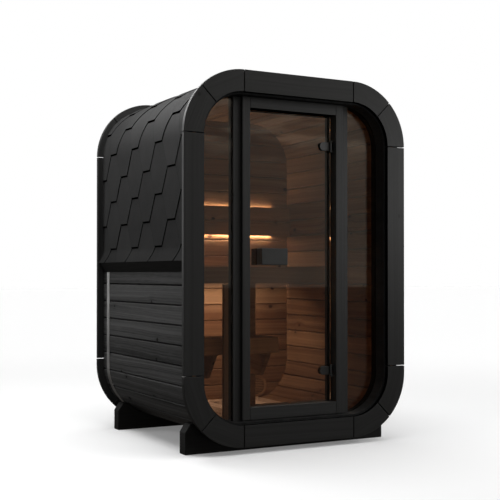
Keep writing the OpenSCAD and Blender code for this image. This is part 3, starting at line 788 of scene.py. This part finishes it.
easedPieces = [  # node, piece, grain, finish, slot, eased edge
    ("front_ring_rails", "frontRingRails", "x", ringBoard, "ring_board", 0.0014),
    ("front_ring_stiles", "frontRingStiles", "z", ringBoard, "ring_board", 0.0014),
    ("front_ring_corners", "frontRingCorners", "round", ringBoard, "ring_board", 0.0014),
    ("back_ring_rails", "backRingRails", "x", ringBoard, "ring_board", 0.0014),
    ("back_ring_stiles", "backRingStiles", "z", ringBoard, "ring_board", 0.0014),
    ("back_ring_corners", "backRingCorners", "round", ringBoard, "ring_board", 0.0014),
    ("glazing_hoop", "glazingHoop", "y", hoopBoard, "black_joinery", 0.0005),
    ("mullion_left", "mullionLeft", "z", blackJoinery, "black_joinery", 0.0015),
    ("mullion_right", "mullionRight", "z", blackJoinery, "black_joinery", 0.0015),
    ("jamb_latch", "jambLatch", "z", blackJoinery, "black_joinery", 0.002),
    ("jamb_hinge", "jambHinge", "z", blackJoinery, "black_joinery", 0.002),
    ("door_head", "doorHead", "x", blackJoinery, "black_joinery", 0.0015),
    ("door_sill", "doorSill", "x", blackJoinery, "black_joinery", 0.0015),
    ("foot_beam_front", "footBeamFront", "x", footTimber, "foot_timber", 0.003),
    ("foot_beam_back", "footBeamBack", "x", footTimber, "foot_timber", 0.003),
    ("floor_boards", "floorBoards", "y", paleBoard, "thermo_board", 0.002),
    ("upper_bench", "upperBench", "x", thermoBoard, "thermo_board", 0.003),
    ("upper_frame", "upperFrame", "x", thermoBoard, "thermo_board", 0.002),
    ("lower_bench", "lowerBench", "x", thermoBoard, "thermo_board", 0.003),
    ("backrest", "backrest", "x", thermoBoard, "thermo_board", 0.003),
    ("inner_post", "innerPost", "z", paleBoard, "thermo_board", 0.002),
    ("straps", "straps", "y", steelStrap, "steel_strap", 0.0004),
    ("hinge_plates", "hingePlates", "z", blackHardware, "black_hardware", 0.0006),
]
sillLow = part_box("door_sill")[0]
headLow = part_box("door_head")[0]
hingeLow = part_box("jamb_hinge")[0]
grooves = {"depth": 0.014, "height": 0.006, "overrun": 0.01}  # a shadow joint under the sill
grooveLow, grooveHigh = sillLow.z - grooves["overrun"], sillLow.z + grooves["height"]
below = [
    (-wallHigh.x, grooveLow), (wallHigh.x, grooveLow),
    (wallHigh.x, grooveHigh), (-wallHigh.x, grooveHigh)]
groove = extruded("groove", [below], sillLow.y - grooves["overrun"], sillLow.y + grooves["depth"])
ringInner = min(fromCore(vertex.co) for vertex in frame["nodes"]["front_ring_corners"].data.vertices)
paintedShadeReach = 0.0006  # from the face that the painted shade covers
# painted shade on the front ring's inner faces, under the door head, and on the hinge jamb's side by the
# pane
paintedShadeFaces = {
    "frontRing": lambda place: fromCore(place) < ringInner + paintedShadeReach,
    "doorHead": lambda place: place.z < headLow.z + paintedShadeReach,
    "jambHinge": lambda place: place.x < hingeLow.x + paintedShadeReach}
for node, name, along, finish, slot, ease in easedPieces:
    cutter = groove if name in ("doorSill", "jambLatch", "jambHinge") else None
    piece = eased(node, name, along, finish, slot, ease, groove=cutter)
    for start, chosen in paintedShadeFaces.items():
        if name.startswith(start):
            markPaintedShade(piece.data, chosen)
bpy.data.objects.remove(groove)
doorPieces = [
    ("hinge_clamps", "hingeClamps", 0.001),
    ("handle_outside", "handleOutside", 0.0025),
    ("handle_inside", "handleInside", 0.0025)]
for node, name, ease in doorPieces:
    eased(node, name, "x", blackHardware, "black_hardware", ease, "door")
for node, finish in (("door_pane", tintedGlass), ("side_pane_left", tintedGlass),
                     ("side_pane_right", tintedGlass), ("light_bars", lightDiffuser)):
    for place in frame["nodes"][node].material_slots:
        place.material = finish
print("joinery eased")


def ventLouvre(layout, finish):  # slanted blades across the round opening
    shape = Shaper("ventLouvre", layout)
    blade = shape.copies(shape["blades"], (2, 2, 2))
    order = shape.named("order")
    x, y, z = shape.parts(shape.node("GeometryNodeInputPosition"))
    pitch = shape["opening"] * 2 / (shape["blades"] + 0.5)
    level = (order + 0.75) * pitch - shape["opening"]
    half = (shape["opening"] * shape["opening"] - level * level).math("SQRT") + shape["tuck"]
    height = level + z * shape["thickness"] - y * shape["slant"]
    run = shape["face"] + (y + 0.5) * shape["depth"]
    across = x * 2 * half
    blade = shape.store(blade, "plank", shape.vector(across, height, run), "FLOAT_VECTOR")
    blade = shape.store(blade, "tone", shape["shade"])
    blade = shape.placed(blade, shape.vector(across + shape["x"], run, height + shape["z"]))
    return shape.made("ventLouvre", blade, finish)


def turned(name, profile, centreX, centreZ, steps=64):  # points of radius and Y, turned about Y
    shell = bmesh.new()
    rows = [[shell.verts.new((centreX + radius * math.cos(2 * math.pi * i / steps), y,
                              centreZ + radius * math.sin(2 * math.pi * i / steps)))
             for i in range(steps)] for radius, y in profile]
    for here, there in zip(rows, rows[1:] + rows[:1]):
        for i in range(steps):
            j = (i + 1) % steps
            shell.faces.new((here[i], here[j], there[j], there[i]))
    bmesh.ops.recalc_face_normals(shell, faces=shell.faces)
    return newPiece(name, shell)


opening = vent["flange"] - vent["rim"] * 2
blades = {
    "blades": 9, "thickness": 0.0072, "slant": 0.002, "depth": 0.007, "tuck": 0.002, "shade": 0.5,
    "opening": opening, "face": ventLow.y + vent["inset"], "x": vent["x"], "z": vent["z"]}
louvre = ventLouvre(blades, thermoBoard)
settled(louvre, thermoBoard, "thermo_board", "cabin", "vent_grille")
sleeve = vent["bore"] - vent["sleeveWall"]
throat = ventLow.y + vent["throat"]
rim = turned("ventRim", [
    (opening, ventLow.y + vent["inset"]), (opening + vent["round"], ventLow.y),
    (vent["flange"] - vent["round"], ventLow.y), (vent["flange"], ventLow.y + vent["round"]),
    (vent["flange"], backLow.y), (vent["bore"], backLow.y), (vent["bore"], ventHigh.y),
    (sleeve, ventHigh.y), (sleeve, throat + vent["inset"]), (opening, throat)], vent["x"], vent["z"])
labelBoards(rim.data, "x", 5)
rim.data.attributes["tone"].data.foreach_set("value", [vent["rimTone"]] * len(rim.data.vertices))
shadeByAngle(rim.data)
settled(rim, thermoBoard, "thermo_board", "cabin", "vent_grille")
# a near-black disc just behind the blades: painted shade between them
shadeSheetFace = ventLow.y + vent["screenPlace"]
shadeSheetCircle = circleOutline(vent["x"], vent["z"], sleeve + vent["inset"])
screen = extruded("ventShadeSheet", [shadeSheetCircle], shadeSheetFace, shadeSheetFace + vent["screen"])
labelBoards(screen.data, "x", 6)
settled(screen, hoopBoard, "black_joinery", "cabin", "vent_grille")
print("vent made")


def ridgeCaps(layout, finish):  # lapped caps along the top of the roof
    shape = Shaper("ridgeCaps", layout)
    cap = shape.copies(shape["count"], (2, 2, 2))
    order = shape.named("order")
    x, y, z = shape.parts(shape.node("GeometryNodeInputPosition"))
    run = shape["start"] + order * shape["step"] + (y + 0.5) * shape["length"]
    lift = shape["low"] + (y + 0.5) * (shape["high"] - shape["low"]) + (z - 0.5) * shape["thickness"]
    cap = shape.store(cap, "plank", shape.vector(run, x * shape["width"] + order, lift), "FLOAT_VECTOR")
    cap = shape.store(cap, "tone", shape.chance(order, 0.0, 1.0, shape["toneSeed"]))
    cap = shape.placed(cap, shape.vector(x * shape["width"], run, roofHigh.z + lift))
    return shape.made("ridgeCaps", cap, finish)


capLayout = {
    "count": 10, "start": runStart - 0.16, "step": 0.146, "length": 0.31, "width": 0.25,
    "low": 0.0095, "high": 0.0135, "thickness": 0.003, "toneSeed": 31}
caps = ridgeCaps(capLayout, bitumenShingle)
trimmed(caps, runStart, runEnd)
settled(caps, bitumenShingle, "bitumen_shingle", "cabin", "skin_roof")
print("ridge caps laid")


def floorFinish():  # pale to the eye, fading to white far away, and dim to everything else
    look = {
        "shade": grey(0.80), "mottled": grey(0.75), "mottle": (0.99, 1.0), "bounce": grey(0.08),
        "near": 0.17, "far": 0.29, "nearReach": 1.5, "farReach": 7.0, "reflected": (0.085, 0.077, 0.07)}
    paint = Finish("studioFloor")
    rays = paint.node("ShaderNodeLightPath", {}, {}, "Is Camera Ray")
    place = paint.node("ShaderNodeTexCoord", {}, {}, "Object")
    distance = paint.node("ShaderNodeVectorMath", {"operation": "LENGTH"}, {0: place}, "Value")
    soft = paint.ramp(paint.noise(place, 0.4, 2.0), 0.0, 1.0, look["mottle"], "LINEAR")
    shade = paint.blend(soft, look["mottled"], look["shade"])
    shade = paint.blend(rays, look["bounce"], shade)
    matt = paint.node("ShaderNodeBsdfDiffuse", {}, {"Color": shade})
    light = rays * paint.ramp(distance, look["nearReach"], look["farReach"], (look["near"], look["far"]))
    glow = paint.node("ShaderNodeEmission", {}, {"Color": paint.scaled(plainWhite, light), "Strength": 1.0})
    seen = paint.node("ShaderNodeAddShader", {}, {0: matt, 1: glow})
    dim = paint.node("ShaderNodeEmission", {}, {"Color": look["reflected"], "Strength": 1.0})
    mirrored = rays.also("Is Glossy Ray")
    return paint.finished(paint.node("ShaderNodeMixShader", {}, {0: mirrored, 1: seen, 2: dim}))


def studioFloor(reach=60.0):
    corners = [(-reach, -reach, 0), (reach, -reach, 0), (reach, reach, 0), (-reach, reach, 0)]
    mesh = bpy.data.meshes.new("studioFloor")
    mesh.from_pydata(corners, [], [(0, 1, 2, 3)])
    mesh.materials.append(floorFinish())
    floor = bpy.data.objects.new("studioFloor", mesh)
    scene.collection.objects.link(floor)


def studioWorld():  # white to the eye, dim on the cabin, and a cloudy evening in what mirrors it
    look = {
        "ambient": 0.03, "sky": (0.26, 0.255, 0.23), "cloud": (0.62, 0.57, 0.48), "behind": grey(0.12),
        "ground": (0.12, 0.11, 0.10), "cloudScale": (17.0, 17.0, 80.0), "cloudRange": (0.46, 0.64),
        "cloudHeight": (0.095, 0.145), "turn": (-0.15, 0.35), "horizon": -0.018, "mist": 0.008}
    world = bpy.data.worlds.new("studio")
    scene.world = world
    world.use_nodes = True
    air = Graph(world.node_tree)
    world.node_tree.nodes.clear()
    way = air.node("ShaderNodeTexCoord", {}, {}, "Generated")
    x, y, z = air.parts(way)
    clouds = air.noise(air.stretched(way, look["cloudScale"]), 1.0, 4.0, 0.6)
    share = air.ramp(clouds, *look["cloudRange"]) * air.ramp(z, *look["cloudHeight"])
    sky = air.blend(share, look["sky"], look["cloud"])
    sky = air.blend(air.ramp(y, *look["turn"]), sky, look["behind"])
    sky = air.blend(air.ramp(z, look["horizon"] + look["mist"], look["horizon"]), sky, look["ground"])
    rays = air.node("ShaderNodeLightPath", {}, {}, "Is Camera Ray")
    seen = rays.math("MAXIMUM", rays.also("Is Transmission Ray"))
    white = air.node("ShaderNodeBackground", {}, {"Color": plainWhite, "Strength": 1.0})
    ambient = air.node("ShaderNodeBackground", {}, {"Color": plainWhite, "Strength": look["ambient"]})
    mirrored = air.node("ShaderNodeBackground", {}, {"Color": sky, "Strength": 1.0})
    light = air.node("ShaderNodeMixShader", {}, {0: rays.also("Is Glossy Ray"), 1: ambient, 2: mirrored})
    light = air.node("ShaderNodeMixShader", {}, {0: seen, 1: light, 2: white})
    last = world.node_tree.nodes.new("ShaderNodeOutputWorld")
    world.node_tree.links.new(light.socket, last.inputs["Surface"])


def hung(name, lamp, place, target):  # a lamp at its place, turned to what it lights
    light = bpy.data.objects.new(name, lamp)
    light.location = place
    way = Vector(target) - light.location
    light.rotation_euler = way.to_track_quat("-Z", "Y").to_euler()
    scene.collection.objects.link(light)
    return light


def addSun(name, source, energy, spread):
    lamp = bpy.data.lights.new(name, "SUN")
    lamp.energy = energy
    lamp.angle = math.radians(spread)
    hung(name, lamp, source, (0, 0, 1))


def addPanel(name, place, target, size, energy, colour=plainWhite, glossy=False):
    lamp = bpy.data.lights.new(name, "AREA")
    lamp.shape = "RECTANGLE"
    lamp.size, lamp.size_y = size
    lamp.energy = energy
    lamp.color = colour
    panel = hung(name, lamp, place, target)
    panel.visible_glossy = glossy
    panel.visible_camera = False


suns = {
    "topLight": {"source": (0.0, 0.01, 5.0), "energy": 2.3, "spread": 60},
    "frontLight": {"source": (4.0, -4.0, 4.0), "energy": 0.73, "spread": 40},
    "fillLight": {"source": (-1.0, -5.0, 0.6), "energy": 0.85, "spread": 30}}
panels = {
    "rightPanel": {
        "place": (2.0, -1.8, 1.6), "target": (0.65, -0.65, 1.3), "size": (0.8, 1.2), "energy": 10.0,
        "glossy": True},
    "leftPanel": {
        "place": (-3.0, 2.2, 1.7), "target": (-0.7, 0.0, 1.2), "size": (1.5, 1.5), "energy": 31.0,
        "glossy": True},
    "shoulderPanel": {
        "place": (-0.95, 0.30, 2.50), "target": (-0.62, 0.1, 1.92), "size": (0.4, 1.2), "energy": 22.0,
        "glossy": True},
    "benchGlow": {
        "place": (0.05, 0.27, 0.84), "target": (0.05, 0.52, 0.35), "size": (0.55, 0.10), "energy": 3.0,
        "colour": (1.0, 0.95, 0.90)}}


def placeCamera():
    view = {
        "place": (-2.898, -5.416, 0.970), "turn": 28.475, "tilt": 0.462, "lens": 71.93, "shift": 0.0332,
        "sensor": 36.0}
    lens = bpy.data.cameras.new("viewer")
    lens.lens = view["lens"]
    lens.sensor_width = view["sensor"]
    lens.shift_y = view["shift"]
    camera = bpy.data.objects.new("viewer", lens)
    camera.location = view["place"]
    camera.rotation_euler = (math.radians(90 + view["tilt"]), 0, math.radians(-view["turn"]))
    scene.collection.objects.link(camera)
    scene.camera = camera


studioFloor()
studioWorld()
for name, sun in suns.items():
    addSun(name, **sun)
for name, panel in panels.items():
    addPanel(name, **panel)
placeCamera()
scene.view_settings.view_transform = "Standard"
print("stage, lights and camera set")
